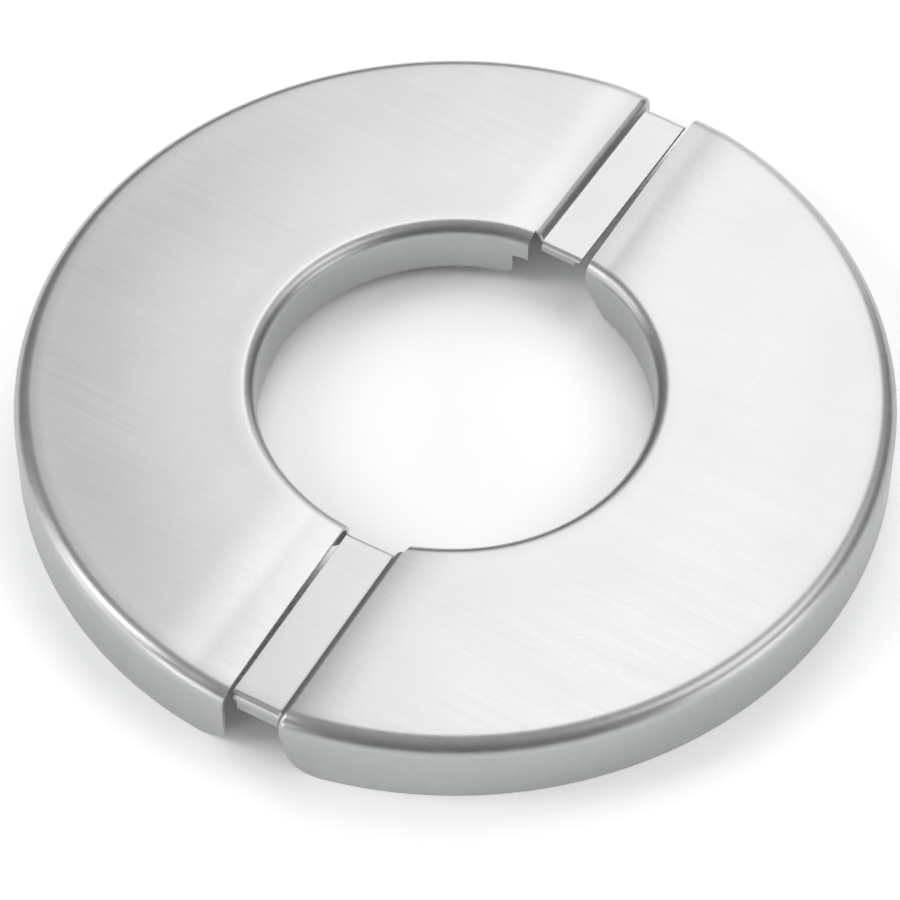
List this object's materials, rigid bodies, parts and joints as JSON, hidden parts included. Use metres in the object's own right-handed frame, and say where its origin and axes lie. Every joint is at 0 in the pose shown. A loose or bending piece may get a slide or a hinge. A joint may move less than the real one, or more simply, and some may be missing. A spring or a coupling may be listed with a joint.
{
  "type": "split wall flange",
  "caption": "Round split wall flange in brushed sheet steel: halves with a straight edge and a stepped tongue each slide together round a pipe and cover its hole in the wall.",
  "frame": {"origin": "pipe axis at the plane of the room wall", "axes": "+Z along the pipe away from the wall, +X the way the right half is pulled off, Y along the straight edges"},
  "size_m": [0.108, 0.1079, 0.0097],
  "materials": {
    "brushed_sheet": "satin stainless steel with fine straight brush lines across the joint, smoother on the bends and tongues"
  },
  "bodies": {
    "left_body": {"left_half": "brushed_sheet"},
    "right_body": {"right_half": "brushed_sheet"}
  },
  "joints": [
    {"name": "pull_apart", "type": "slide", "parent": "left_body", "child": "right_body", "axis": [1, 0, 0], "range_m": [-0.0065, 0.03]}
  ]
}
